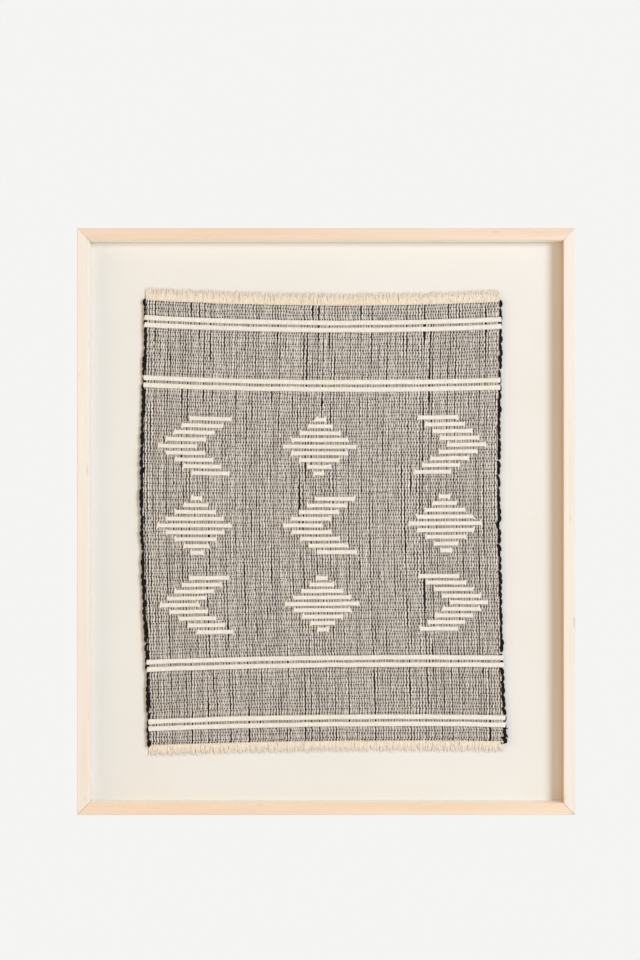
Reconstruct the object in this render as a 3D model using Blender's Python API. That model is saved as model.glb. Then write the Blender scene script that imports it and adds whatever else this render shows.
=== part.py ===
"""A handwoven ribbed cloth with raised white bars, set on a board in a deep maple frame.

Metres, +Z up. The front faces -Y and the flat back of the frame lies in the plane Y = 0.
The origin is the middle of that back plane.
"""
import math
import random

import bmesh
import bpy
import numpy as np

# Frame
FRAME_W = 0.610
FRAME_H = 0.718
FRAME_D = 0.045
FACE = 0.0147
RECESS = 0.020
EASE = 0.0012
EASE_STEPS = 3
BACK_EASE = 0.0006
GAP = 0.0003

# Board behind the cloth, and the panel that closes the back
BOARD_T = 0.005
BOARD_LIP = 0.006
PANEL_T = 0.003
PANEL_LIP = 0.003

# Cloth: the plain sheet, and how it lifts at its edges
CLOTH_T = 0.0020
CLOTH_HALF_W = 0.2190
CLOTH_TOP = 0.2676
CLOTH_BOTTOM = -0.2723
EDGE_CURL = 0.0014
EDGE_CURL_POWER = 8

# The cloth's middle line bows: terms of its X in rising powers of level / BOW_HEIGHT
BOW_HEIGHT = 0.27
MIDDLE_BOW = (-0.0081, -0.0035, 0.0104, 0.0010, -0.0052)

# Each weft row is a shallow curve, named by its level, the height of its middle.
ROW_CURVES = (
    # level, rise at the right edge against the middle, lift of both edges
    (CLOTH_BOTTOM, 0.0025, -0.0025),
    (-0.246, 0.0026, -0.0031),
    (-0.173, 0.0027, -0.0025),
    (0.167, -0.0016, 0.0040),
    (0.240, -0.0012, 0.0054),
    (CLOTH_TOP, -0.0013, 0.0056),
)

# Soft unevenness of the sheet off the board
WAVES = (
    # height, waves across a metre, waves up a metre, phase
    (0.00070, 3.1, 1.2, 0.4),
    (0.00050, 1.4, 5.3, 2.1),
    (0.00035, 7.3, 4.1, 4.0),
)

# Selvedges: the weft turns back in small loops
CELLS_ACROSS = 12
CELLS_UP = 16
EDGE_BAND = 0.05
LOOPS_PER_CELL = 4
LOOP_POINTS = 3
LOOP_REACH = 0.0034

# White bars: rovings laid in over the sheet
BAR_RAISED = 0.0014
BAR_SUNK = 0.0009
BAR_CREST = 0.62
STRIPE_LEVELS = (0.2403, 0.1671, -0.1727, -0.2457)
STRIPE_PITCH = 0.0088
STRIPE_W = 0.0054
STRIPE_STEPS = 12
STRIPE_OVERHANG = 0.0022
BAR_W = 0.0047
BAR_END_W = 0.0062
BAR_END_LENGTH = 0.0022
BAR_UNIT = 0.00993
SMALLEST_BAR = 1.35
MOTIF_ROWS = 9
CHEVRON_BAR = 5

MOTIFS = (
    # form, across, up, pitch of its rows
    ("chevron_left", -0.1632, 0.0936, 0.0084),
    ("diamond", -0.0086, 0.0930, 0.0083),
    ("chevron_right", 0.1527, 0.0954, 0.0084),
    ("diamond", -0.1619, -0.0048, 0.0084),
    ("chevron_left", -0.0083, -0.0049, 0.0082),
    ("diamond", 0.1466, -0.0016, 0.0083),
    ("chevron_left", -0.1613, -0.1026, 0.0083),
    ("diamond", -0.0052, -0.1008, 0.0079),
    ("chevron_right", 0.1558, -0.0993, 0.0081),
)

# Fringe: the cut warp ends past the last weft
FRINGE_STRANDS = 124
FRINGE_GROUP = 4
FRINGE_STRIP = 0.0014
FRINGE_LENGTH = 0.0112
FRINGE_UNEVEN = 0.0012
FRINGE_LEAN = 0.0009
FRINGE_LIFT = 0.0008
FRINGE_T = 0.0016
FRINGE_TIP_T = 0.0008
STRAND_ROOT = 0.74
STRAND_TIP = 0.36
FRINGE_INSET = 0.006
FRINGE_SEED = 11

BOARD_FRONT = -(FRAME_D - RECESS)

COLOURS = {
    # name: red, green, blue, roughness
    "maple_warm": (0.93, 0.76, 0.58, 0.45),
    "maple_pale": (0.94, 0.84, 0.72, 0.45),
    "board": (0.90, 0.88, 0.83, 0.90),
    "panel": (0.52, 0.40, 0.28, 0.85),
    "cloth": (0.42, 0.39, 0.36, 0.95),
    "fringe": (0.90, 0.76, 0.60, 0.95),
}


def clear_scene():
    """Start from nothing."""
    for item in list(bpy.data.objects):
        bpy.data.objects.remove(item, do_unlink=True)


def make_material(name):
    """A plain Principled material in one of the part's colours."""
    red, green, blue, rough = COLOURS[name]
    material = bpy.data.materials.new(name)
    material.use_nodes = True
    shader = material.node_tree.nodes["Principled BSDF"]
    shader.inputs["Base Color"].default_value = (red, green, blue, 1.0)
    shader.inputs["Roughness"].default_value = rough
    shader.inputs["Metallic"].default_value = 0.0
    material.diffuse_color = (red, green, blue, 1.0)
    return material


def add_object(name, mesh, material_name):
    """Link a mesh to the scene under its piece's name."""
    item = bpy.data.objects.new(name, mesh)
    bpy.context.scene.collection.objects.link(item)
    mesh.materials.append(make_material(material_name))
    return item


def mesh_from_bmesh(name, bm):
    """Close off a bmesh as a triangulated mesh with its faces pointing out."""
    bmesh.ops.recalc_face_normals(bm, faces=bm.faces)
    bmesh.ops.triangulate(bm, faces=bm.faces)
    mesh = bpy.data.meshes.new(name)
    bm.to_mesh(mesh)
    bm.free()
    return mesh


def weft_height(level, across):
    """Height of the weft row of one level, with across from -1 at the left to 1 at the right."""
    levels = [row[0] for row in ROW_CURVES]
    tilt = float(np.interp(level, levels, [row[1] for row in ROW_CURVES]))
    lift = float(np.interp(level, levels, [row[2] for row in ROW_CURVES]))
    return level + tilt * across + lift * across * across


def middle_x(level):
    """The cloth's middle line, which bows to the left between its ends."""
    share = level / BOW_HEIGHT
    return sum(term * share ** power for power, term in enumerate(MIDDLE_BOW))


def across_to_x(level, across):
    """X of a place across the cloth at one level."""
    return middle_x(level) + across * CLOTH_HALF_W


def x_to_across(level, x):
    """The inverse of across_to_x."""
    return (x - middle_x(level)) / CLOTH_HALF_W


def raw_lift(level, across):
    """How far the sheet stands off the board before it is set to touch."""
    x = across * CLOTH_HALF_W
    lift = EDGE_CURL * abs(across) ** EDGE_CURL_POWER
    for height, waves_across, waves_up, phase in WAVES:
        lift += height * math.sin(2 * math.pi * (waves_across * x + waves_up * level) + phase)
    return lift


def lowest_lift():
    """The lowest place of the sheet, which rests on the board."""
    levels = np.linspace(CLOTH_BOTTOM, CLOTH_TOP, CELLS_UP + 1)
    places = np.linspace(-1.0, 1.0, CELLS_ACROSS + 1)
    return min(raw_lift(level, across) for level in levels for across in places)


LOWEST = lowest_lift()


def cloth_back(level, across):
    """Y of the sheet's back face."""
    return BOARD_FRONT - GAP - (raw_lift(level, across) - LOWEST)


def cloth_front(level, across):
    """Y of the sheet's front face."""
    return cloth_back(level, across) - CLOTH_T


def rail_section():
    """Section of a rail as points of (distance in from the outer face, Y), in order."""
    front = -FRAME_D
    shelf = BOARD_FRONT
    step = FACE - BOARD_LIP
    back_step = step - PANEL_LIP
    points = [(0.0, -BACK_EASE)]
    for turn in range(EASE_STEPS + 1):
        angle = math.radians(90) * turn / EASE_STEPS
        points.append((EASE - EASE * math.cos(angle), front + EASE - EASE * math.sin(angle)))
    for turn in range(EASE_STEPS + 1):
        angle = math.radians(90) * turn / EASE_STEPS
        points.append((FACE - EASE + EASE * math.sin(angle), front + EASE - EASE * math.cos(angle)))
    points.append((FACE, shelf))
    points.append((step, shelf))
    points.append((step, -PANEL_T - GAP))
    points.append((back_step, -PANEL_T - GAP))
    points.append((back_step, 0.0))
    points.append((BACK_EASE, 0.0))
    return points


def make_rail(name, length, offset, angle, material_name):
    """A mitred rail, drawn as the top one, turned about Y and moved out from the middle."""
    set_back = GAP / math.sqrt(2.0)
    bm = bmesh.new()
    ends = []
    for side in (-1, 1):
        ring = []
        for inward, y in rail_section():
            x = side * (length / 2 - inward - set_back)
            ring.append(bm.verts.new((x, y, offset - inward)))
        ends.append(ring)
    count = len(ends[0])
    for i in range(count):
        j = (i + 1) % count
        bm.faces.new((ends[0][i], ends[0][j], ends[1][j], ends[1][i]))
    for ring in ends:
        bm.faces.new(ring)
    turn = np.array([[math.cos(angle), 0.0, math.sin(angle)],
                     [0.0, 1.0, 0.0],
                     [-math.sin(angle), 0.0, math.cos(angle)]])
    for vert in bm.verts:
        vert.co = turn @ np.array(vert.co)
    mesh = mesh_from_bmesh(name, bm)
    mesh.shade_smooth()
    mesh.set_sharp_from_angle(angle=math.radians(35))
    return add_object(name, mesh, material_name)


def make_plate(name, half_w, half_h, front, back, material_name):
    """A flat board between two Y planes."""
    bm = bmesh.new()
    bmesh.ops.create_cube(bm, size=1.0)
    for vert in bm.verts:
        x, y, z = vert.co
        vert.co = (2 * half_w * x, front if y < 0 else back, 2 * half_h * z)
    return add_object(name, mesh_from_bmesh(name, bm), material_name)


def edge_places():
    """Where the cloth's columns of points lie across it, without the looped edges."""
    inner = 1.0 - EDGE_BAND
    return [float(place) for place in np.linspace(-inner, inner, CELLS_ACROSS - 1)]


def loop_reach(step):
    """How far the selvedge stands out at one of its points."""
    phase = (step % LOOP_POINTS) / LOOP_POINTS
    return LOOP_REACH * math.sin(math.pi * phase)


def make_cloth_sheet():
    """The plain sheet with its looped selvedges, as one closed body."""
    bm = bmesh.new()
    steps_per_cell = LOOPS_PER_CELL * LOOP_POINTS
    steps = CELLS_UP * steps_per_cell
    levels = np.linspace(CLOTH_BOTTOM, CLOTH_TOP, steps + 1)

    def point(level, across, reach, y_of):
        x = across_to_x(level, across) + math.copysign(reach, across)
        return bm.verts.new((x, y_of(level, across), weft_height(level, across)))

    layers = []
    for y_of in (cloth_front, cloth_back):
        left = [point(levels[s], -1.0, loop_reach(s), y_of) for s in range(steps + 1)]
        right = [point(levels[s], 1.0, loop_reach(s), y_of) for s in range(steps + 1)]
        inner = []
        for s in range(0, steps + 1, steps_per_cell):
            inner.append([point(levels[s], place, 0.0, y_of) for place in edge_places()])
        layers.append((left, inner, right))
        for row in range(CELLS_UP):
            low = inner[row]
            high = inner[row + 1]
            for column in range(len(low) - 1):
                bm.faces.new((low[column], low[column + 1], high[column + 1], high[column]))
            first = row * steps_per_cell
            last = first + steps_per_cell
            bm.faces.new([low[0], high[0]] + left[first:last + 1][::-1])
            bm.faces.new([high[-1], low[-1]] + right[first:last + 1])

    outlines = []
    for left, inner, right in layers:
        outlines.append(left[::-1] + inner[0] + right + inner[-1][::-1])
    count = len(outlines[0])
    for i in range(count):
        j = (i + 1) % count
        bm.faces.new((outlines[0][i], outlines[0][j], outlines[1][j], outlines[1][i]))
    return add_object("cloth", mesh_from_bmesh("cloth", bm), "cloth")


def add_bar(bm, level, sections):
    """One raised bar along a weft row, from sections of (across, width)."""
    rings = []
    for across, width in sections:
        x = across_to_x(level, across)
        z = weft_height(level, across)
        y = cloth_front(level, across)
        crest = width * BAR_CREST / 2
        ring = ((y + BAR_SUNK, z - width / 2), (y + BAR_SUNK, z + width / 2),
                (y - BAR_RAISED, z + crest), (y - BAR_RAISED, z - crest))
        rings.append([bm.verts.new((x, ring_y, ring_z)) for ring_y, ring_z in ring])
    for first, second in zip(rings, rings[1:]):
        for i in range(4):
            j = (i + 1) % 4
            bm.faces.new((first[i], first[j], second[j], second[i]))
    bm.faces.new(rings[0])
    bm.faces.new(rings[-1])


def add_short_bar(bm, x, z, length):
    """A motif's bar, a little wider at both ends, where the roving turns back."""
    level = z
    for _ in range(3):
        level += z - weft_height(level, x_to_across(level, x))
    middle = x_to_across(level, x)
    half = length / 2 / CLOTH_HALF_W
    end = BAR_END_LENGTH / CLOTH_HALF_W
    sections = ((middle - half, BAR_END_W), (middle - half + end, BAR_W),
                (middle + half - end, BAR_W), (middle + half, BAR_END_W))
    add_bar(bm, level, sections)


def motif_bars(form):
    """Rows of a motif from the bottom up, as (offset, length) in bar units."""
    rows = []
    middle = MOTIF_ROWS // 2
    for row in range(MOTIF_ROWS):
        away = abs(row - middle)
        if form == "diamond":
            rows.append((0.0, max(MOTIF_ROWS - 2 * away, SMALLEST_BAR)))
        elif form == "chevron_left":
            rows.append((away - middle / 2, CHEVRON_BAR))
        else:
            rows.append((middle / 2 - away, CHEVRON_BAR))
    return rows


def make_bars():
    """All the raised bars, as a guide that is joined to the sheet."""
    bm = bmesh.new()
    reach = 1.0 + STRIPE_OVERHANG / CLOTH_HALF_W
    places = np.linspace(-reach, reach, STRIPE_STEPS + 1)
    for pair in STRIPE_LEVELS:
        for side in (-0.5, 0.5):
            add_bar(bm, pair + side * STRIPE_PITCH, [(place, STRIPE_W) for place in places])
    for form, across, up, pitch in MOTIFS:
        for row, (offset, length) in enumerate(motif_bars(form)):
            z = up + (row - MOTIF_ROWS // 2) * pitch
            add_short_bar(bm, across + offset * BAR_UNIT, z, length * BAR_UNIT)
    guide = add_object("bars_guide", mesh_from_bmesh("bars_guide", bm), "cloth")
    guide.hide_render = True
    guide.display_type = "WIRE"
    return guide


def make_cloth():
    """The sheet with its raised bars in one body."""
    cloth = make_cloth_sheet()
    union = cloth.modifiers.new("bars", "BOOLEAN")
    union.operation = "UNION"
    union.solver = "EXACT"
    union.object = make_bars()
    return cloth


def make_fringe(name, edge_level, side):
    """Cut warp ends standing on a narrow strip, above (1) or below (-1) one edge of the cloth."""
    random.seed(FRINGE_SEED + side)
    bm = bmesh.new()
    half = 1.0 - FRINGE_INSET / CLOTH_HALF_W
    pitch = 2 * half / FRINGE_STRANDS

    def pair(across, out, lift, thickness):
        """The front and back points at one place, out from the cloth's edge."""
        x = across_to_x(edge_level, across)
        z = weft_height(edge_level, across) + side * out
        front = cloth_front(edge_level, across) - lift
        middle = front + FRINGE_T / 2
        return (bm.verts.new((x, middle - thickness / 2, z)),
                bm.verts.new((x, middle + thickness / 2, z)))

    base = []
    outline = []
    for index in range(FRINGE_STRANDS):
        centre = -half + (index + 0.5) * pitch
        length = FRINGE_LENGTH + random.uniform(-FRINGE_UNEVEN, FRINGE_UNEVEN)
        lean = random.uniform(-FRINGE_LEAN, FRINGE_LEAN) / CLOTH_HALF_W
        lift = random.uniform(0.0, FRINGE_LIFT)
        root = pitch * STRAND_ROOT / 2
        tip = pitch * STRAND_TIP / 2
        if index % FRINGE_GROUP == 0:
            base.append(pair(centre - pitch / 2, GAP, 0.0, FRINGE_T))
        outline.append((
            pair(centre - root, GAP + FRINGE_STRIP, 0.0, FRINGE_T),
            pair(centre + lean - tip, length, lift, FRINGE_TIP_T),
            pair(centre + lean + tip, length, lift, FRINGE_TIP_T),
            pair(centre + root, GAP + FRINGE_STRIP, 0.0, FRINGE_T)))
    base.append(pair(half, GAP, 0.0, FRINGE_T))

    for layer in (0, 1):
        for strand in outline:
            bm.faces.new([corner[layer] for corner in strand])
        for group in range(len(base) - 1):
            strands = outline[group * FRINGE_GROUP:(group + 1) * FRINGE_GROUP]
            roots = [corner[layer] for strand in strands for corner in (strand[0], strand[3])]
            if group > 0:
                roots.insert(0, outline[group * FRINGE_GROUP - 1][3][layer])
            bm.faces.new([base[group + 1][layer], base[group][layer]] + roots)
    loop = list(base[::-1])
    for strand in outline:
        loop += list(strand)
    count = len(loop)
    for i in range(count):
        j = (i + 1) % count
        bm.faces.new((loop[i][0], loop[j][0], loop[j][1], loop[i][1]))
    return add_object(name, mesh_from_bmesh(name, bm), "fringe")


def make_frame():
    """Four mitred rails, the board that carries the cloth, and the back panel."""
    make_rail("rail_top", FRAME_W, FRAME_H / 2, 0.0, "maple_warm")
    make_rail("rail_bottom", FRAME_W, FRAME_H / 2, math.pi, "maple_warm")
    make_rail("stile_right", FRAME_H, FRAME_W / 2, math.pi / 2, "maple_pale")
    make_rail("stile_left", FRAME_H, FRAME_W / 2, -math.pi / 2, "maple_pale")
    inset = FACE - BOARD_LIP + GAP
    make_plate("mount_board", FRAME_W / 2 - inset, FRAME_H / 2 - inset,
               BOARD_FRONT + GAP, BOARD_FRONT + GAP + BOARD_T, "board")
    inset -= PANEL_LIP
    make_plate("back_panel", FRAME_W / 2 - inset, FRAME_H / 2 - inset, -PANEL_T, 0.0, "panel")


clear_scene()
make_frame()
make_cloth()
make_fringe("fringe_top", CLOTH_TOP, 1)
make_fringe("fringe_bottom", CLOTH_BOTTOM, -1)
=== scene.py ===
"""Looks of a handwoven ribbed cloth with raised white bars, set in a deep maple frame.

Metres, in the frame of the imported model: the front faces -Y and +Z is up.
"""
import math

import bpy
import numpy as np
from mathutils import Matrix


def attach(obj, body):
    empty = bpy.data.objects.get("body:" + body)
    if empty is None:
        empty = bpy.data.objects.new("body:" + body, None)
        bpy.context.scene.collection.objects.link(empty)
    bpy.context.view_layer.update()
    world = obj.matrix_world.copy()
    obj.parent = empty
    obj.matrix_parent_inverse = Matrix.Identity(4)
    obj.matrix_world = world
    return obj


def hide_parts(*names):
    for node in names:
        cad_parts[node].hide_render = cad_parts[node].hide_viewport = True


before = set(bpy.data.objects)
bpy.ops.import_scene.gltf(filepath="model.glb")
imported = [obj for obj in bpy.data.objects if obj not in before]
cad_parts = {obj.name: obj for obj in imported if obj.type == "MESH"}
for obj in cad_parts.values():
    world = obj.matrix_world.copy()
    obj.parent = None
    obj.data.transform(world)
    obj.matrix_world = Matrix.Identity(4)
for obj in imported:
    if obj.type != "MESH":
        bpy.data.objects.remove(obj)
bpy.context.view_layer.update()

# Camera: straight on, aimed a little above and to the left of the frame's middle
CAMERA_X = -0.0077
CAMERA_Z = 0.0510
CAMERA_DISTANCE = 2.3
LENS_MM = 70.5

# Frame and board, as in the model
FRAME_D = 0.045
RECESS = 0.020
GAP = 0.0003
BOARD_FRONT = -(FRAME_D - RECESS)

# The cloth's sheet, as in the model but lying flatter on the board
CLOTH_HALF_W = 0.2190
CLOTH_TOP = 0.2676
CLOTH_BOTTOM = -0.2723
CLOTH_H = CLOTH_TOP - CLOTH_BOTTOM
FLATTER = 0.45
EDGE_CURL = 0.0014
EDGE_CURL_POWER = 8
BOW_HEIGHT = 0.27
MIDDLE_BOW = (-0.0081, -0.0035, 0.0104, 0.0010, -0.0052)
ROW_CURVES = (
    # level, rise at the right edge against the middle, lift of both edges
    (CLOTH_BOTTOM, 0.0025, -0.0025),
    (-0.246, 0.0026, -0.0031),
    (-0.173, 0.0027, -0.0025),
    (0.167, -0.0016, 0.0040),
    (0.240, -0.0012, 0.0054),
    (CLOTH_TOP, -0.0013, 0.0056),
)
WAVES = (
    # height, waves across a metre, waves up a metre, phase
    (0.00070, 3.1, 1.2, 0.4),
    (0.00050, 1.4, 5.3, 2.1),
    (0.00035, 7.3, 4.1, 4.0),
)
CELLS_ACROSS = 12
CELLS_UP = 16
LEVEL_STEPS = 4

# White bars across the whole cloth, in pairs, as in the model
STRIPE_LEVELS = (0.2403, 0.1671, -0.1727, -0.2457)
STRIPE_PITCH = 0.0088
STRIPE_W = 0.0061
STRIPE_OVERHANG_LEFT = -0.0004
STRIPE_OVERHANG_RIGHT = 0.0024
STRIPE_WANDER = 0.00013
STRIPE_VARIES = 0.03
STRIPE_SECTIONS = 160

# Ends of those bars: a swell that fades over a length in metres, then a tip. The shoulder and
# the tip are shares of the half length, and the widths are shares of the bar's own.
STRIPE_END_SWELL = 0.16
STRIPE_END_LENGTH = 0.003
STRIPE_SHOULDER = 0.0040
STRIPE_TIP = 0.0025
STRIPE_TIP_WIDTH = 0.60

# Short white bars, as in the model but each motif set to its own slant and lengths
BAR_W = 0.0053
BAR_UNIT = 0.00993
BAR_WANDER = 0.00012
BAR_VARIES = 0.035
BAR_TIP = 0.012
BAR_TIP_WIDTH = 0.70
BAR_SECTIONS = 24
SMALLEST_BAR = 1.35
MOTIF_ROWS = 9
CHEVRON_BAR = 5
MOTIFS = (
    # form, across, up, pitch of its rows, then for its lowest, middle and top bar:
    # how far it is shifted, and how much longer it is than its form says
    ("chevron_left", -0.1632, 0.0929, 0.0084, (0.0005, -0.0005, 0.0007), (-0.0025, -0.0014, 0.0025)),
    ("diamond", -0.0086, 0.0921, 0.0083, (-0.0009, 0.0005, 0.0013), (-0.0010, 0.0012, 0.0)),
    ("chevron_right", 0.1527, 0.0946, 0.0084, (-0.0023, 0.0003, 0.0045), (-0.0037, -0.0011, 0.0)),
    ("diamond", -0.1619, -0.0052, 0.0084, (0.0026, -0.0009, 0.0020), (0.0018, 0.0025, 0.0)),
    ("chevron_left", -0.0083, -0.0051, 0.0082, (0.0015, -0.0005, -0.0015), (-0.0005, -0.0006, -0.0005)),
    ("diamond", 0.1466, -0.0024, 0.0083, (0.0010, -0.0001, -0.0011), (0.0003, 0.0010, 0.0002)),
    ("chevron_left", -0.1613, -0.1031, 0.0083, (0.0045, 0.0004, -0.0031), (-0.0047, -0.0012, 0.0)),
    ("diamond", -0.0052, -0.1016, 0.0079, (0.0010, 0.0001, -0.0005), (0.0004, 0.0016, 0.0006)),
    ("chevron_right", 0.1558, -0.0997, 0.0081, (0.0027, -0.0001, 0.0025), (-0.0028, -0.0024, 0.0008)),
)

# Weave: cream warps in pairs, in a plain weave with black weft yarns
WARPS = 264
WARP_PIECES = 4
WARP_PITCH = 2 * CLOTH_HALF_W / WARPS
WEFTS = 128
ROWS_PER_WEFT = 3
MID_OUT = 0.00095
CRIMP = 0.00029
CRIMP_VARIES = 0.40
CRIMP_RANGE = (0.1, 1.6)

# Section of a warp and of a weft
YARN_HALF_W = 0.00064
YARN_VARIES = 0.13
YARN_RANGE = (0.68, 1.40)
YARN_UNEVEN = 0.10
YARN_SWELL = 0.03
WARP_CROWN = 0.00034
WARP_PROFILE = (
    # across, out: shares of the half width and of the crown
    (-1.0, -0.8),
    (0.0, 1.0),
    (1.0, -0.8),
)
WEFT_HALF_W = 0.00044
WEFT_VARIES = 0.20
WEFT_CROWN = 0.00034
WEFT_PROFILE = (
    # up, out: shares of the half width and of the crown
    (-1.0, -0.6),
    (0.0, 1.0),
    (1.0, -0.6),
)

# How far a weft strays from its level, as shares of the wefts' pitch
DRIFT_WHOLE = 0.09
DRIFT_BROAD = 0.13
DRIFT_FINE = 0.06

# Gaps between pairs, as shares of the usual gap
PAIR_GAP = 0.00068
GAP_USUAL = 0.88
GAP_LASTING = 0.26
GAP_UNEVEN_LONG = 0.42
GAP_UNEVEN_SHORT = 0.17
WIDE_GAPS = 0.12
WIDE_GAPS_AT_EDGES = 0.30
WIDE_GAP_RANGE = (0.5, 1.5)
WIDE_GAP_SHOWN = 0.50
WIDE_GAP_SHOWN_VARIES = 0.85
NEAR_PAIRS = 4.0

# The two warps of a pair: how far they part, nestle round the wefts and sway
PARTING = 0.00028
PARTING_USUAL = 0.1
PARTING_VARIES = 0.9
PARTING_MOST = 1.6
NESTLE = 0.00005
NESTLE_USUAL = 0.9
NESTLE_VARIES = 0.8
NESTLE_MOST = 2.2
SWAY = 0.00012

# Tone of the warps, where 0 is the middle between the yarn's dark and light colour
WARP_TONE = 0.34
TONE_RISE = 0.30
TONE_VARIES = 0.35
TONE_UNEVEN_LONG = 0.50
TONE_UNEVEN_SHORT = 0.45
TONE_BESIDE_GAPS = 0.9
# Painted shade: warps darker where they lie between white bars
TONE_PAINTED_SHADE_BETWEEN_BARS = -0.8
TONE_OUTER_PAIRS = 1.4

# Calm weave, without crimp, where it lies between white bars and a little past them
CALM_RISE = 0.55
CALM_SLIMMER = 0.14
CALM_PAST_ENDS = 0.0006
CALM_PAST_ROWS = 0.0004
CALM_FADE_ALONG = 0.0008
CALM_FADE_ROWS = 0.0010
CALM_FADE_STRIPES = 0.0012
STRIPE_CALM = STRIPE_PITCH - 0.0006

# Dark ground under the yarns
BASE_T = 0.00075
BASE_ROWS = 70
BASE_COLUMNS = 48
BASE_INSET = 0.0008

# Rovings of all white bars
BAR_OUT = 0.0022
BAR_HALF_DEPTH = 0.00115
BAR_RING = 10
BAR_TONE_VARIES = 0.4
STRIPE_TONE_VARIES = 0.25
ROVING_MOTTLE = 0.5

# Turns of the roving at both ends of each short bar, fuller on the smallest bars
TURN_INSET = 0.0009
TURN_UP = (0.0036, 0.0052)
TURN_DOWN = (0.0030, 0.0046)
TURN_SLANT = 0.20
TURN_LEAN = 0.06
TURN_HALF_W = 0.00130
TURN_HALF_DEPTH = 0.00110
TURN_OUT = 0.0001
TURN_WIDTHS = (0.80, 1.20)
TURN_FULLER = 1.35
TURN_FULLER_BELOW = 2 * BAR_UNIT
TURN_SECTIONS = 7
TURN_ROUNDNESS = 2.8
TURN_THINNEST = 0.05
TURN_RING = 8

# Selvedge loops, as beads beside each edge
LOOPS = 64
LOOP_BANDS = (
    # level, then how far out each edge's beads begin and end: left edge, right edge
    (-0.2723, -0.0030, 0.0014, -0.0012, 0.0041),
    (-0.2575, -0.0028, 0.0014, -0.0013, 0.0041),
    (-0.2100, -0.0030, 0.0009, -0.0027, 0.0021),
    (-0.1350, -0.0032, 0.0008, -0.0012, 0.0026),
    (-0.0830, -0.0027, 0.0020, -0.0004, 0.0032),
    (0.0000, -0.0026, 0.0017, -0.0005, 0.0036),
    (0.1000, -0.0025, 0.0016, -0.0005, 0.0036),
    (0.1800, -0.0034, 0.0009, -0.0006, 0.0033),
    (0.2300, -0.0036, 0.0000, -0.0006, 0.0033),
    (0.2676, -0.0026, 0.0008, -0.0010, 0.0026),
)
LOOP_HALF_DEPTH = 0.00125
LOOP_OUT = 0.0013
LOOP_OUT_VARIES = 0.0002
LOOP_SECTIONS = 11
LOOP_RING = 8
LOOP_LEVEL_VARIES = 0.0014
LOOP_HEIGHTS = (1.04, 1.22)
LOOP_SLANT = -0.0005
LOOP_SLANT_VARIES = 0.0004
LOOP_BULGE = 0.0008
LOOP_BULGES = (0.0, 1.8)
LOOP_FILL = 0.54
LOOP_SHIFT = -0.0002
LOOP_SHIFT_VARIES = 0.00025
LOOP_WIDTHS = (0.74, 1.22)
LOOP_ROUNDNESS = 2.2
LOOP_THINNEST = 0.30
LOOP_TONE_VARIES = 0.5

# Slubs of weft, and the weft ends that hang loose at the lower right
LOOSE_SECTIONS = 7
LOOSE_ROUNDNESS = 3
LOOSE_THINNEST = 0.12
LOOSE_WEFT = (
    # X and Z of one end, X and Z of the other, half the thickness
    (-0.1929, 0.2007, -0.1911, 0.1996, 0.0011),
    (-0.1503, 0.0945, -0.1489, 0.0939, 0.0008),
    (-0.0318, 0.2636, -0.0304, 0.2630, 0.0009),
    (0.0156, 0.0514, 0.0167, 0.0502, 0.0009),
    (0.2166, -0.2500, 0.2204, -0.2585, 0.0012),
    (0.2214, -0.2545, 0.2243, -0.2560, 0.0006),
    (0.2182, -0.2570, 0.2212, -0.2655, 0.0017),
    (0.2200, -0.2600, 0.2236, -0.2665, 0.0014),
    (0.2148, -0.2660, 0.2228, -0.2685, 0.0012),
    (0.2180, -0.2735, 0.2206, -0.2722, 0.0011),
    (0.2150, -0.2722, 0.2172, -0.2748, 0.0007),
)

# Fringe: fine threads, in a bunch for each warp
THREADS_PER_WARP = 8
FRINGE_INSET_LEFT = 0.0025
FRINGE_INSET_RIGHT = 0.0
THREAD_SECTIONS = 6
THREAD_RING = 4
THREAD_SCATTER = 0.5 * WARP_PITCH
THREAD_START = -0.0014
THREAD_LIFT = 0.0009
THREAD_LIFTS = (-0.0003, 0.0005)
THREAD_SINKS = (0.0001, 0.0006)
THREAD_SETTLES = 0.8
THREAD_LEAN = 0.0009
THREAD_CURL = 0.0006
THREAD_CURL_TURNS = 1.5
THREAD_HALF_W = (0.00044, 0.00062)
THREAD_FLATNESS = 0.36
THREAD_TAPER = 0.78
THREAD_TONE_VARIES = 0.6
# Painted light: threads turn lighter towards their tips, where they thin out over the board
THREAD_TIP_PAINTED_LIGHT = 1.8
BUNCH_VARIES = 0.0005
BUNCH_LEAN = 1.3
BUNCH_LEAN_FROM = 3
FRINGES = (
    # name, level of the edge, side, shortest and longest thread
    ("fringe_threads_top", CLOTH_TOP, 1, 0.0078, 0.0158),
    ("fringe_threads_bottom", CLOTH_BOTTOM, -1, 0.0058, 0.0137),
)

# Maple: each rail's grain and tones, then the share of the warm tone in its streaks and flecks. The
# stiles' paler, more neutral tones are a painted sheen that falls along their grain
RAILS = (
    # node, grain axis, pale and warm tone, direction of its inner wall, painted light and shade on that
    # wall
    ("rail_top", 0, (0.911, 0.745, 0.597), (0.870, 0.662, 0.484), (0, 0, -1), (0.99, 0.925, 0.80)),
    ("rail_bottom", 0, (0.951, 0.778, 0.611), (0.908, 0.691, 0.495), (0, 0, 1), (0.99, 0.945, 0.83)),
    # Stiles: paler, more neutral face tones, a painted sheen
    ("stile_left", 2, (0.926, 0.870, 0.795), (0.898, 0.817, 0.715), (1, 0, 0), (0.93, 0.83, 0.72)),
    ("stile_right", 2, (0.915, 0.843, 0.756), (0.885, 0.792, 0.679), (-1, 0, 0), (0.72, 0.48, 0.28)),
)
STREAK_SHARE = 0.86
FLECK_SHARES = (0.60, 0.50, 0.40)

# Shares of a yarn's dark and light colour in its duller patches
DULLER_SHARES = (0.86, 0.04)

# Tones of the board, the panel and the floor
BOARD_TONES = ((0.842, 0.817, 0.757), (0.860, 0.841, 0.789))
PANEL_TONES = ((0.30, 0.19, 0.11), (0.38, 0.25, 0.15))
PANEL_FIBRE = (0.20, 0.12, 0.07)
FLOOR_TONES = ((0.90, 0.90, 0.885), (0.93, 0.93, 0.915))

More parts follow.
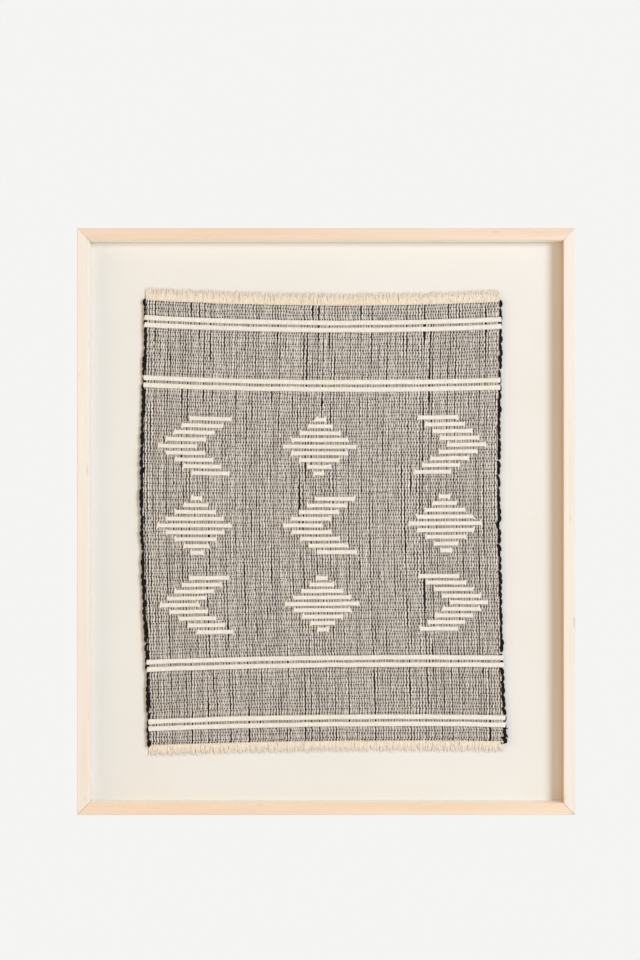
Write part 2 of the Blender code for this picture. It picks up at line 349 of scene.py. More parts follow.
# Surroundings
FLOOR_Z = -1.45
FLOOR_REACH = 3.0
FLOOR_BEHIND = 2.4
SEEN_COLOUR = (0.910, 0.910, 0.895)
WORLD_COLOUR = (1.0, 0.920, 0.79)
WORLD_STRENGTH = 0.460
LIGHTS = (
    # name, azimuth and elevation in degrees, distance, width, height, share of light, colour
    ("key_right", 41, 11, 4.5, 1.4, 1.35, 0.474, (0.795, 0.873, 1.0)),
    ("fill_left", -60, 5, 3.0, 2.2, 1.6, 0.148, (1.0, 0.72, 0.45)),
)


def weft_height(level, across):
    """Height of the weft row of one level, with across from -1 at the left to 1 at the right."""
    levels = [row[0] for row in ROW_CURVES]
    tilt = np.interp(level, levels, [row[1] for row in ROW_CURVES])
    lift = np.interp(level, levels, [row[2] for row in ROW_CURVES])
    return level + tilt * across + lift * across * across


def middle_x(level):
    """The cloth's middle line, which bows to the left between its ends."""
    share = np.asarray(level) / BOW_HEIGHT
    return sum(term * share ** power for power, term in enumerate(MIDDLE_BOW))


def raw_lift(level, across):
    """How far the sheet stands off the board before it is set to touch."""
    x = across * CLOTH_HALF_W
    lift = EDGE_CURL * np.abs(across) ** EDGE_CURL_POWER
    for height, waves_across, waves_up, phase in WAVES:
        lift = lift + height * np.sin(2 * np.pi * (waves_across * x + waves_up * level) + phase)
    return lift


def lowest_lift():
    """The lowest place of the sheet, which rests on the board."""
    levels = np.linspace(CLOTH_BOTTOM, CLOTH_TOP, CELLS_UP + 1)
    places = np.linspace(-1.0, 1.0, CELLS_ACROSS + 1)
    return float(raw_lift(levels[:, None], places[None, :]).min())


LOWEST = lowest_lift()


def on_cloth(level, across, out):
    """Points at a level and a place across the cloth, standing out from its back face."""
    level, across, out = np.broadcast_arrays(level, across, out)
    x = middle_x(level) + across * CLOTH_HALF_W
    y = BOARD_FRONT - GAP - FLATTER * (raw_lift(level, across) - LOWEST) - out
    return np.stack([x, y, weft_height(level, across)], axis=-1)


def to_cloth(x, z):
    """The level and place across of a point of the front view."""
    level = np.array(z, float)
    for _ in range(LEVEL_STEPS):
        across = (x - middle_x(level)) / CLOTH_HALF_W
        level = level + z - weft_height(level, across)
    return level, (x - middle_x(level)) / CLOTH_HALF_W


def wander(random, count, places, knots):
    """Smooth random curves, one for each strand, with a spread of about one and some knots."""
    values = random.standard_normal((count, knots + 2))
    at = random.random((count, 1)) + np.linspace(0, knots - 1e-6, places)[None, :]
    low = at.astype(int)
    share = at - low
    share = share * share * (3 - 2 * share)
    strand = np.arange(count)[:, None]
    return values[strand, low] * (1 - share) + values[strand, low + 1] * share


def rounded(shares, power, thinnest):
    """Thickness along a short tube from -1 to 1: full in the middle, rounded at both ends."""
    return np.sqrt(np.clip(1 - np.abs(shares) ** power, thinnest, 1))


def make_mesh(name, points, face_groups, tone=None, smooth=True):
    """A mesh from arrays of points and faces, with a tone for each point."""
    points = np.asarray(points, np.float32).reshape(-1, 3)
    counts = np.concatenate([np.full(len(group), group.shape[1]) for group in face_groups])
    corners = np.concatenate([group.ravel() for group in face_groups])
    starts = np.concatenate([[0], np.cumsum(counts)[:-1]])
    mesh = bpy.data.meshes.new(name)
    mesh.vertices.add(len(points))
    mesh.vertices.foreach_set("co", points.ravel())
    mesh.loops.add(len(corners))
    mesh.loops.foreach_set("vertex_index", corners.astype(np.int32))
    mesh.polygons.add(len(counts))
    mesh.polygons.foreach_set("loop_start", starts.astype(np.int32))
    mesh.polygons.foreach_set("loop_total", counts.astype(np.int32))
    mesh.update(calc_edges=True)
    mesh.validate()
    if smooth:
        mesh.shade_smooth()
    if tone is not None:
        attribute = mesh.attributes.new("tone", "FLOAT", "POINT")
        attribute.data.foreach_set("value", np.asarray(tone, np.float32).ravel())
    return mesh


def add_piece(name, mesh, material):
    """Link a mesh as a piece of the object."""
    piece = bpy.data.objects.new(name, mesh)
    bpy.context.scene.collection.objects.link(piece)
    mesh.materials.append(material)
    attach(piece, "root")
    return piece


def strip_faces(strips, sections, ring, flip):
    """Quads of many open strips of equal make."""
    ids = np.arange(strips * sections * ring).reshape(strips, sections, ring)
    quads = np.stack([ids[:, :-1, :-1], ids[:, :-1, 1:], ids[:, 1:, 1:], ids[:, 1:, :-1]], axis=-1)
    quads = quads.reshape(-1, 4)
    return quads[:, ::-1] if flip else quads


def tube_points(centres, half_widths, half_depths, ring):
    """Rings round many paths that lie along the cloth: arrays of tube, section, ring, XYZ."""
    tangent = np.gradient(centres, axis=1)
    tangent /= np.linalg.norm(tangent, axis=-1, keepdims=True) + 1e-12
    outward = np.zeros_like(tangent)
    outward[..., 1] = -1.0
    side = np.cross(tangent, outward)
    side /= np.linalg.norm(side, axis=-1, keepdims=True) + 1e-12
    normal = np.cross(side, tangent)
    angle = 2 * np.pi * (np.arange(ring) + 0.5) / ring
    across = side[:, :, None, :] * np.cos(angle)[None, None, :, None]
    outer = normal[:, :, None, :] * np.sin(angle)[None, None, :, None]
    return (centres[:, :, None, :] + across * half_widths[:, :, None, None]
            + outer * half_depths[:, :, None, None])


def tube_faces(tubes, sections, ring, first=0):
    """Quads and end caps of many closed tubes of equal make."""
    ids = first + np.arange(tubes * sections * ring).reshape(tubes, sections, ring)
    after = np.roll(ids, -1, axis=2)
    quads = np.stack([ids[:, :-1], ids[:, 1:], after[:, 1:], after[:, :-1]], axis=-1)
    return [quads.reshape(-1, 4), ids[:, 0, :], ids[:, -1, ::-1]]


def motif_rows(form):
    """Rows of a motif from the bottom up, as (offset, length) in bar units."""
    rows = []
    middle = MOTIF_ROWS // 2
    for row in range(MOTIF_ROWS):
        away = abs(row - middle)
        if form == "diamond":
            rows.append((0.0, max(MOTIF_ROWS - 2 * away, SMALLEST_BAR)))
        elif form == "chevron_left":
            rows.append((away - middle / 2, CHEVRON_BAR))
        else:
            rows.append((middle / 2 - away, CHEVRON_BAR))
    return rows


def motif_bars():
    """Every short bar as (x, z, length, pitch of its rows)."""
    bars = []
    middle = MOTIF_ROWS // 2
    known_rows = (0, middle, MOTIF_ROWS - 1)
    for form, across, up, pitch, shifts, longer in MOTIFS:
        for row, (offset, length) in enumerate(motif_rows(form)):
            x = across + offset * BAR_UNIT + float(np.interp(row, known_rows, shifts))
            whole = length * BAR_UNIT + float(np.interp(row, known_rows, longer))
            bars.append((x, up + (row - middle) * pitch, whole, pitch))
    return bars


def between_bars(level, across):
    """How much a point of the weave lies between or close beside white bars, 0 to 1."""
    x = middle_x(level) + across * CLOTH_HALF_W
    z = weft_height(level, across)
    mask = np.zeros_like(x)
    for bar_x, bar_z, length, pitch in motif_bars():
        along = np.clip((length / 2 + CALM_PAST_ENDS - np.abs(x - bar_x)) / CALM_FADE_ALONG, 0, 1)
        beside = np.clip((pitch / 2 + CALM_PAST_ROWS - np.abs(z - bar_z)) / CALM_FADE_ROWS, 0, 1)
        mask = np.maximum(mask, along * beside)
    for stripe in STRIPE_LEVELS:
        beside = np.clip((STRIPE_CALM - np.abs(level - stripe)) / CALM_FADE_STRIPES, 0, 1)
        mask = np.maximum(mask, beside)
    return mask


def weft_drift():
    """How far each weft strays from its usual level under each warp, in weft pitches."""
    random = np.random.default_rng(3)
    return (DRIFT_WHOLE * random.standard_normal((WEFTS, 1))
            + DRIFT_BROAD * wander(random, WEFTS, WARPS, knots=16)
            + DRIFT_FINE * wander(random, WEFTS, WARPS, knots=90))


def drift_at(drift, weft_at):
    """The wefts' drift at places between them, which ends with the first and last weft."""
    none = np.zeros((1, drift.shape[1]))
    known = np.concatenate([none, drift, none])
    at = np.concatenate([[0.0], np.arange(WEFTS) + 0.5, [WEFTS]])
    low = np.clip(np.searchsorted(at, weft_at, side="right") - 1, 0, len(at) - 2)
    share = ((weft_at - at[low]) / (at[low + 1] - at[low]))[:, None]
    return (known[low] * (1 - share) + known[low + 1] * share).T


def warp_places(random, rows, pair_width):
    """Place across of every pair of warps at every row: uneven gaps that come and go."""
    pairs = WARPS // 2
    gaps = pairs - 1
    usual = (np.arange(gaps) + 1) * 2 / pairs - 1
    wide = random.random(gaps) < WIDE_GAPS + WIDE_GAPS_AT_EDGES * np.abs(usual) ** 4
    extra = np.where(wide, random.uniform(*WIDE_GAP_RANGE, gaps), 0.0)
    shown = WIDE_GAP_SHOWN + WIDE_GAP_SHOWN_VARIES * wander(random, gaps, rows, knots=7)
    shown = np.clip(shown, 0, 1)
    uneven = (GAP_UNEVEN_LONG * wander(random, gaps, rows, knots=15)
              + GAP_UNEVEN_SHORT * wander(random, gaps, rows, knots=60))
    lasting = GAP_LASTING * random.standard_normal((gaps, 1))
    opening = PAIR_GAP * (np.exp(lasting + uneven) * GAP_USUAL + extra[:, None] * shown)
    steady = opening.mean(axis=1, keepdims=True)

    # A gap that opens pushes only its near neighbours aside
    aside = np.cumsum(opening - steady, axis=0)
    order = np.arange(gaps)
    near = np.exp(-0.5 * ((order[:, None] - order[None, :]) / NEAR_PAIRS) ** 2)
    aside = aside - near @ aside / near.sum(axis=1, keepdims=True)
    aside = np.concatenate([np.zeros((1, rows)), aside])
    aside[-1] = 0.0
    beside = (pair_width[:-1] + pair_width[1:]) / 2
    place = np.cumsum(np.concatenate([np.zeros((1, 1)), beside + steady]), axis=0) + aside
    opened = (np.diff(place, axis=0) - beside) / PAIR_GAP - 1
    whole = place[-1:] + (pair_width[0] + pair_width[-1]) / 2
    return (place + pair_width[0] / 2) / whole * 2 - 1, opened


def beside_partner(random, yarn_half, wave, calm):
    """How far each warp lies beside the middle of its pair, in metres."""
    rows = wave.shape[1]
    index = np.arange(WARPS)
    side = np.where(index % 2 == 0, -1.0, 1.0)[:, None]
    partner = np.where(index % 2 == 0, index + 1, index - 1)
    nestle = NESTLE_USUAL + NESTLE_VARIES * wander(random, WARPS // 2, rows, knots=24)
    nestle = NESTLE * np.clip(nestle, 0, NESTLE_MOST)
    parting = PARTING_USUAL + PARTING_VARIES * wander(random, WARPS // 2, rows, knots=24)
    parting = PARTING * np.clip(parting, 0, PARTING_MOST)
    spread = yarn_half[partner] + np.repeat(parting / 2, 2, axis=0)
    sway = SWAY * wander(random, WARPS, rows, knots=60)
    return side * (spread - np.repeat(nestle, 2, axis=0) * wave * (1 - calm)) + sway


def warp_tone(random, level, calm, openings):
    """Tone of the warps: lighter upwards and beside wide gaps, darker between white bars, where the
    darkening is painted shade of the bars.
    """
    rows = level.shape[1]
    beside = np.zeros_like(calm)
    beside[1:-1:2] = np.maximum(openings, 0)
    beside[2::2] = np.maximum(openings, 0)
    tone = (WARP_TONE + TONE_RISE * level / CLOTH_TOP + TONE_VARIES * random.standard_normal((WARPS, 1))
            + TONE_UNEVEN_LONG * wander(random, WARPS, rows, knots=20)
            + TONE_UNEVEN_SHORT * wander(random, WARPS, rows, knots=110)
            + TONE_BESIDE_GAPS * beside + TONE_PAINTED_SHADE_BETWEEN_BARS * calm)
    tone[[0, 1, -2, -1]] += TONE_OUTER_PAIRS
    return tone


def make_warps(material, drift):
    """Cream warps that pass over and under the weft, in a few pieces side by side."""
    random = np.random.default_rng(7)
    inner_rows = WEFTS * ROWS_PER_WEFT
    weft_at = np.concatenate([[0.0], (np.arange(inner_rows) + 0.5) / ROWS_PER_WEFT, [WEFTS]])
    rows = inner_rows + 2
    fullness = np.clip(1 + YARN_VARIES * random.standard_normal((WARPS, 1)), *YARN_RANGE)
    yarn_half = YARN_HALF_W * fullness
    pair_places, openings = warp_places(random, rows, 2 * (yarn_half[0::2] + yarn_half[1::2]))
    wave = np.cos(np.pi * (weft_at[None, :] - 0.5 - np.arange(WARPS)[:, None]))
    wave = wave * np.clip(1 + CRIMP_VARIES * wander(random, WARPS, rows, knots=60), *CRIMP_RANGE)
    level = CLOTH_BOTTOM + CLOTH_H * (weft_at[None, :] + drift_at(drift, weft_at)) / WEFTS
    places = np.repeat(pair_places, 2, axis=0)
    calm = between_bars(level, places)
    places = places + beside_partner(random, yarn_half, wave, calm) / CLOTH_HALF_W
    out = MID_OUT + CRIMP * wave * (1 - calm) + CRIMP * CALM_RISE * calm
    half = yarn_half * (1 + YARN_UNEVEN * wander(random, WARPS, rows, knots=80)
                        + YARN_SWELL * wave * (1 - calm))
    half = half * (1 - CALM_SLIMMER * calm)
    tone = warp_tone(random, level, calm, openings)

    profile = np.array(WARP_PROFILE)
    ring = len(profile)
    across = places[..., None] + half[..., None] * profile[:, 0] / CLOTH_HALF_W
    outs = out[..., None] + WARP_CROWN * profile[:, 1]
    points = on_cloth(level[..., None], across, outs)
    tones = np.broadcast_to(tone[..., None], across.shape)
    pieces = []
    each = WARPS // WARP_PIECES
    for part in range(WARP_PIECES):
        chosen = slice(part * each, (part + 1) * each)
        faces = strip_faces(each, rows, ring, flip=False)
        mesh = make_mesh(f"warp_{part + 1}", points[chosen], [faces], tones[chosen])
        pieces.append(add_piece(f"warp_{part + 1}", mesh, material))
    return pieces, places


def make_wefts(material, places, drift):
    """Black weft yarns that pass over and under the warps."""
    random = np.random.default_rng(19)
    across = places[:, 2::ROWS_PER_WEFT][:, :WEFTS].T
    parity = np.where((np.arange(WEFTS)[:, None] + np.arange(WARPS)[None, :]) % 2 == 0, 1.0, -1.0)
    level = CLOTH_BOTTOM + CLOTH_H * (np.arange(WEFTS)[:, None] + 0.5 + drift) / WEFTS
    calm = between_bars(level, across)
    out = MID_OUT - CRIMP * parity * (1 - calm) - CRIMP * calm
    half = WEFT_HALF_W * (1 + WEFT_VARIES * wander(random, WEFTS, WARPS, knots=60))
    profile = np.array(WEFT_PROFILE)
    level_at = level[..., None] + half[..., None] * profile[:, 0]
    outs = out[..., None] + WEFT_CROWN * profile[:, 1]
    points = on_cloth(level_at, across[..., None], outs)
    faces = strip_faces(WEFTS, WARPS, len(profile), flip=True)
    tone = np.broadcast_to(wander(random, WEFTS, WARPS, knots=30)[..., None], level_at.shape)
    mesh = make_mesh("weft_yarns", points, [faces], tone)
    return add_piece("weft_yarns", mesh, material)


def make_base(material):
    """The thin dark ground of the sheet that the yarns are bedded in, closed all round."""
    inset = BASE_INSET / CLOTH_HALF_W
    levels = np.linspace(CLOTH_BOTTOM, CLOTH_TOP, BASE_ROWS + 1)[:, None]
    places = np.linspace(-1 + inset, 1 - inset, BASE_COLUMNS + 1)[None, :]
    front = on_cloth(levels, places, BASE_T)
    back = on_cloth(levels, places, 0.0)
    columns = BASE_COLUMNS + 1
    ids = np.arange(front.shape[0] * columns).reshape(-1, columns)
    quads = np.stack([ids[:-1, :-1], ids[:-1, 1:], ids[1:, 1:], ids[1:, :-1]], axis=-1).reshape(-1, 4)
    rim = np.concatenate([ids[0, :-1], ids[:-1, -1], ids[-1, :0:-1], ids[:0:-1, 0]])
    after = np.roll(rim, -1)
    sides = np.stack([rim, rim + ids.size, after + ids.size, after], axis=-1)
    points = np.concatenate([front.reshape(-1, 3), back.reshape(-1, 3)])
    mesh = make_mesh("cloth_ground", points, [quads, quads[:, ::-1] + ids.size, sides], smooth=False)
    return add_piece("cloth_ground", mesh, material)


def make_short_bars(material, random):
    """White rovings of the motifs: nine short ones in each of nine motifs."""
    bars = motif_bars()
    sections = BAR_SECTIONS + 2
    shares = np.concatenate([[0.0], np.linspace(BAR_TIP, 1 - BAR_TIP, BAR_SECTIONS), [1.0]])
    count = len(bars)
    x = np.array([bar[0] for bar in bars])[:, None]
    z = np.array([bar[1] for bar in bars])[:, None]
    length = np.array([bar[2] for bar in bars])[:, None]
    level, _ = to_cloth(x, z)
    along = x + (shares[None, :] - 0.5) * length
    across = (along - middle_x(level)) / CLOTH_HALF_W
    level = np.broadcast_to(level, across.shape)
    level = level + BAR_WANDER * wander(random, count, sections, knots=5)
    half = BAR_W / 2 * (1 + BAR_VARIES * wander(random, count, sections, knots=7))
    taper = np.ones(sections)
    taper[[0, -1]] = BAR_TIP_WIDTH
    centres = on_cloth(level, across, BAR_OUT)
    depth = BAR_HALF_DEPTH * np.broadcast_to(taper, half.shape)
    points = tube_points(centres, half * taper, depth, BAR_RING)
    tone = (BAR_TONE_VARIES * random.standard_normal((count, 1))
            + ROVING_MOTTLE * wander(random, count, sections, knots=12))
    tone = np.broadcast_to(tone[..., None], points.shape[:3])
    mesh = make_mesh("motif_bars", points, tube_faces(count, sections, BAR_RING), tone)
    return add_piece("motif_bars", mesh, material)


def make_long_bars(material, random):
    """White rovings across the whole cloth: eight, in pairs."""
    sections = STRIPE_SECTIONS + 4
    inner = 1 - STRIPE_SHOULDER
    tip = 1 - STRIPE_TIP
    shares = np.concatenate([[-1.0, -tip], np.linspace(-inner, inner, STRIPE_SECTIONS), [tip, 1.0]])
    overhang = np.where(shares < 0, STRIPE_OVERHANG_LEFT, STRIPE_OVERHANG_RIGHT)
    across = (shares * (1 + overhang / CLOTH_HALF_W))[None, :]
    levels = [[pair + side * STRIPE_PITCH] for pair in STRIPE_LEVELS for side in (-0.5, 0.5)]
    level = np.broadcast_to(np.array(levels), (len(levels), sections))
    level = level + STRIPE_WANDER * wander(random, len(levels), sections, knots=26)
    half = STRIPE_W / 2 * (1 + STRIPE_VARIES * wander(random, len(levels), sections, knots=60))
    from_end = (1 - np.abs(shares)) * CLOTH_HALF_W
    taper = 1 + STRIPE_END_SWELL * np.exp(-from_end / STRIPE_END_LENGTH)
    taper[[0, -1]] = STRIPE_TIP_WIDTH
    taper[[1, -2]] = 1.0
    centres = on_cloth(level, np.broadcast_to(across, level.shape), BAR_OUT)
    depth = BAR_HALF_DEPTH * np.broadcast_to(taper, half.shape)
    points = tube_points(centres, half * taper, depth, BAR_RING)
    tone = (STRIPE_TONE_VARIES * wander(random, len(levels), sections, knots=9)
            + ROVING_MOTTLE * wander(random, len(levels), sections, knots=130))
    tone = np.broadcast_to(tone[..., None], points.shape[:3])
    mesh = make_mesh("stripe_bars", points, tube_faces(len(levels), sections, BAR_RING), tone)
    return add_piece("stripe_bars", mesh, material)


def make_bar_ends(material):
    """The small upright turns of the roving at both ends of each short bar."""
    random = np.random.default_rng(31)
    bars = motif_bars()
    ends = []
    for x, z, length, _ in bars:
        fuller = TURN_FULLER if length < TURN_FULLER_BELOW else 1.0
        for side in (-1, 1):
            ends.append((x + side * (length / 2 - TURN_INSET), z, side, fuller))
    count = len(ends)
    x = np.array([end[0] for end in ends])[:, None]
    z = np.array([end[1] for end in ends])[:, None]
    side = np.array([end[2] for end in ends])[:, None]
    thick = np.array([end[3] for end in ends])[:, None]
    shares = np.linspace(-1, 1, TURN_SECTIONS)[None, :]
    up = random.uniform(*TURN_UP, (count, 1))
    down = random.uniform(*TURN_DOWN, (count, 1))
    rise = np.where(shares > 0, shares * up, shares * down)
    slant = random.normal(0.0, TURN_SLANT, (count, 1)) - TURN_LEAN * side
    level, _ = to_cloth(x, z)
    across = (x + slant * rise - middle_x(level)) / CLOTH_HALF_W
    level = level + rise
    centres = on_cloth(level, across, BAR_OUT + TURN_OUT)
    swell = rounded(shares, TURN_ROUNDNESS, TURN_THINNEST)
    half = TURN_HALF_W * thick * swell * random.uniform(*TURN_WIDTHS, (count, 1))
    depth = TURN_HALF_DEPTH * swell * np.ones((count, 1))
    points = tube_points(centres, half, depth, TURN_RING)
    tone = np.broadcast_to(BAR_TONE_VARIES * random.standard_normal((count, 1, 1)), points.shape[:3])
    mesh = make_mesh("bar_ends", points, tube_faces(count, TURN_SECTIONS, TURN_RING), tone)
    return add_piece("bar_ends", mesh, material)


def make_selvedges(material):
    """Black beads of weft that turn round the outer warps, and the ends that hang loose."""
    random = np.random.default_rng(41)
    shares = np.linspace(-1, 1, LOOP_SECTIONS)[None, :]
    centres = []
    halves = []
    bands = np.array(LOOP_BANDS)
    # Each side with the first of its two columns in the table
    for side, column in ((-1, 1), (1, 3)):
        middle = (np.arange(LOOPS)[:, None] + 0.5) / LOOPS
        middle = middle + random.normal(0, LOOP_LEVEL_VARIES, (LOOPS, 1))
        height = 0.5 * CLOTH_H / LOOPS * random.uniform(*LOOP_HEIGHTS, (LOOPS, 1))
        level = CLOTH_BOTTOM + CLOTH_H * middle + height * shares
        level = np.clip(level, CLOTH_BOTTOM, CLOTH_TOP)
        slant = random.normal(LOOP_SLANT, LOOP_SLANT_VARIES, (LOOPS, 1))
        bulge = LOOP_BULGE * (1 - shares ** 2) * random.uniform(*LOOP_BULGES, (LOOPS, 1))
        begins = np.interp(level, bands[:, 0], bands[:, column])
        ends = np.interp(level, bands[:, 0], bands[:, column + 1])
        half_w = (ends - begins) * LOOP_FILL
        out_x = (begins + ends) / 2 + LOOP_SHIFT + bulge + slant * shares
        out_x = out_x + random.normal(0, LOOP_SHIFT_VARIES, (LOOPS, 1))
        across = side * (1 + out_x / CLOTH_HALF_W)
        out = LOOP_OUT + LOOP_OUT_VARIES * random.standard_normal((LOOPS, 1))
        centres.append(on_cloth(level, across, out))
        swell = rounded(shares, LOOP_ROUNDNESS, LOOP_THINNEST)
        halves.append(half_w * random.uniform(*LOOP_WIDTHS, (LOOPS, 1)) * swell)
    centres = np.concatenate(centres)
    halves = np.concatenate(halves)
    points = tube_points(centres, halves, np.minimum(halves, LOOP_HALF_DEPTH), LOOP_RING)
    tone = LOOP_TONE_VARIES * random.standard_normal((2 * LOOPS, 1, 1))
    tone = np.broadcast_to(tone, points.shape[:3])
    face_groups = tube_faces(2 * LOOPS, LOOP_SECTIONS, LOOP_RING)

    stray = np.array(LOOSE_WEFT)
    shares = np.linspace(0, 1, LOOSE_SECTIONS)[None, :]
    x = stray[:, 0:1] + (stray[:, 2:3] - stray[:, 0:1]) * shares
    z = stray[:, 1:2] + (stray[:, 3:4] - stray[:, 1:2]) * shares
    level, across = to_cloth(x, z)
    thick = stray[:, 4:5] * rounded(2 * shares - 1, LOOSE_ROUNDNESS, LOOSE_THINNEST)
    loose = tube_points(on_cloth(level, across, LOOP_OUT), thick, thick, LOOP_RING)
    first = points.size // 3
    face_groups += tube_faces(len(stray), LOOSE_SECTIONS, LOOP_RING, first)
    points = np.concatenate([points.reshape(-1, 3), loose.reshape(-1, 3)])
    tone = np.concatenate([tone.ravel(), np.zeros(loose.size // 3)])
    mesh = make_mesh("selvedge_loops", points, face_groups, tone)
    return add_piece("selvedge_loops", mesh, material)


def make_fringe(name, edge_level, side, shortest, longest, material):
    """Cut warp ends past the last weft, as fine threads that spread and curl a little."""
    random = np.random.default_rng(53 + side)
    count = WARPS * THREADS_PER_WARP
    first = -1 + FRINGE_INSET_LEFT / CLOTH_HALF_W
    last = 1 - FRINGE_INSET_RIGHT / CLOTH_HALF_W
    root = np.repeat(np.linspace(first, last, WARPS), THREADS_PER_WARP)[:, None]
    root = root + random.normal(0, THREAD_SCATTER, (count, 1)) / CLOTH_HALF_W
    root = np.clip(root, first, last)
    share = np.linspace(0, 1, THREAD_SECTIONS)[None, :]
    length = random.uniform(shortest, longest, (count, 1))
    bunch = np.repeat(random.normal(0, BUNCH_VARIES, (WARPS, 1)), THREADS_PER_WARP, axis=0)
    length = length + bunch
    bunch_lean = BUNCH_LEAN * np.roll(bunch, BUNCH_LEAN_FROM * THREADS_PER_WARP, axis=0)
    lean = random.normal(0, THREAD_LEAN, (count, 1)) + bunch_lean
    curl = random.normal(0, THREAD_CURL, (count, 1))
    sideways = (lean * share + curl * np.sin(math.pi * THREAD_CURL_TURNS * share)) / CLOTH_HALF_W
    reach = THREAD_START + (length - THREAD_START) * share
    level = edge_level + side * reach
    lift = THREAD_LIFT + random.uniform(*THREAD_LIFTS, (count, 1)) * (1 - share)
    settled = THREAD_SETTLES * FLATTER * (raw_lift(edge_level, root) - LOWEST)
    lift = lift - (settled + random.uniform(*THREAD_SINKS, (count, 1))) * share
    centres = on_cloth(level, root + sideways, lift)
    half = random.uniform(*THREAD_HALF_W, (count, 1)) * (1 - THREAD_TAPER * share ** 2)
    points = tube_points(centres, half, half * THREAD_FLATNESS, THREAD_RING)
    tone = THREAD_TONE_VARIES * random.standard_normal((count, 1, 1))
    # Painted light: tone rises towards each tip
    tone = np.broadcast_to(tone, points.shape[:3]) + THREAD_TIP_PAINTED_LIGHT * share[..., None]
    mesh = make_mesh(name, points, tube_faces(count, THREAD_SECTIONS, THREAD_RING), tone)
    return add_piece(name, mesh, material)


class Shader:
    """A Principled material and short ways to add nodes to it."""

    def __init__(self, name, roughness):
        self.material = bpy.data.materials.new(name)
        self.material.use_nodes = True
        self.tree = self.material.node_tree
        self.principled = self.tree.nodes["Principled BSDF"]
        self.principled.inputs["Roughness"].default_value = roughness
        self.place = self.tree.nodes.new("ShaderNodeTexCoord")

    def join(self, output, node, socket):
        """Link an output to a node's input."""
        self.tree.links.new(output, node.inputs[socket])

    def noise(self, scale, detail=3.0, stretch=(1.0, 1.0, 1.0)):
        """Noise in the object's own metres, stretched along an axis by a small factor."""
        mapping = self.tree.nodes.new("ShaderNodeMapping")
        mapping.inputs["Scale"].default_value = stretch
        texture = self.tree.nodes.new("ShaderNodeTexNoise")
        texture.inputs["Scale"].default_value = scale
        texture.inputs["Detail"].default_value = detail
        self.join(self.place.outputs["Object"], mapping, "Vector")
        self.join(mapping.outputs["Vector"], texture, "Vector")
        return texture.outputs["Fac"]

    def facing(self, direction):
        """How far the surface faces a direction of the object, 1 when straight."""
        node = self.tree.nodes.new("ShaderNodeVectorMath")
        node.operation = "DOT_PRODUCT"
        node.inputs[1].default_value = direction
        self.join(self.place.outputs["Normal"], node, 0)
        return node.outputs["Value"]

    def tone(self):
        """The tone that the mesh holds for each point."""
        attribute = self.tree.nodes.new("ShaderNodeAttribute")
        attribute.attribute_name = "tone"
        return attribute.outputs["Fac"]

    def spread(self, output, low, high, to_low=0.0, to_high=1.0):
        """Map a range of values onto another one."""
        node = self.tree.nodes.new("ShaderNodeMapRange")
        node.inputs["From Min"].default_value = low
        node.inputs["From Max"].default_value = high
        node.inputs["To Min"].default_value = to_low
        node.inputs["To Max"].default_value = to_high
        self.join(output, node, "Value")
        return node.outputs["Result"]

    def mix(self, factor, first, second):
        """Mix two colours, each a triple or an output."""
        node = self.tree.nodes.new("ShaderNodeMix")
        node.data_type = "RGBA"
        self.join(factor, node, "Factor")
        for colour, socket in ((first, node.inputs[6]), (second, node.inputs[7])):
            if isinstance(colour, tuple):
                socket.default_value = (*colour, 1.0)
            else:
                self.tree.links.new(colour, socket)
        return node.outputs[2]

    def colour(self, output):
        """Use an output as the base colour."""
        self.join(output, self.principled, "Base Color")

    def bump(self, output, strength, distance):
        """Raise the surface by an output, in metres."""
        node = self.tree.nodes.new("ShaderNodeBump")
        node.inputs["Strength"].default_value = strength
        node.inputs["Distance"].default_value = distance
        self.join(output, node, "Height")
        self.join(node.outputs["Normal"], self.principled, "Normal")

    def set(self, socket, value):
        """Set a plain value on the shader itself."""
        self.principled.inputs[socket].default_value = value


def stretched(axis, factor):
    """A scale that draws noise out along one axis."""
    scale = [1.0, 1.0, 1.0]
    scale[axis] = factor
    return tuple(scale)


def yarn_material(name, dark, light, low, high, fibres, depth=0.25, sheen=0.15, tint=None,
                  mottle_scale=190.0, mottle=0.35):
    """Spun yarn: tones from low to high run from dark to light, with fine fibres along it and painted
    shade, as deep as depth, in the hollows between the fibres.
    """
    shader = Shader(name, 0.9)
    body = shader.mix(shader.spread(shader.tone(), low, high), dark, light)
    if tint:
        streak = shader.noise(scale=330.0, detail=1.0, stretch=stretched(2, 0.06))
        streak = shader.spread(streak, 0.60, 0.74, to_high=0.55)
        body = shader.mix(streak, body, tint)
    patch = shader.noise(scale=mottle_scale, detail=2.0)
    patch = shader.spread(patch, 0.35, 0.65, to_high=mottle)
    of_dark, of_light = DULLER_SHARES
    duller = tuple(of_dark * a + of_light * b for a, b in zip(dark, light))
    shaded = shader.mix(patch, body, duller)
    grain = shader.noise(scale=1500.0, stretch=fibres)
    # Painted shade: colour turns towards the dark tone where the fibre bump sinks
    painted_hollow_shade = shader.spread(grain, 0.3, 0.75, to_low=depth, to_high=0.0)
    shader.colour(shader.mix(painted_hollow_shade, shaded, dark))
    shader.bump(grain, strength=0.55, distance=0.0003)
    shader.set("Sheen Weight", sheen)
    shader.set("Specular IOR Level", 0.2)
    return shader.material


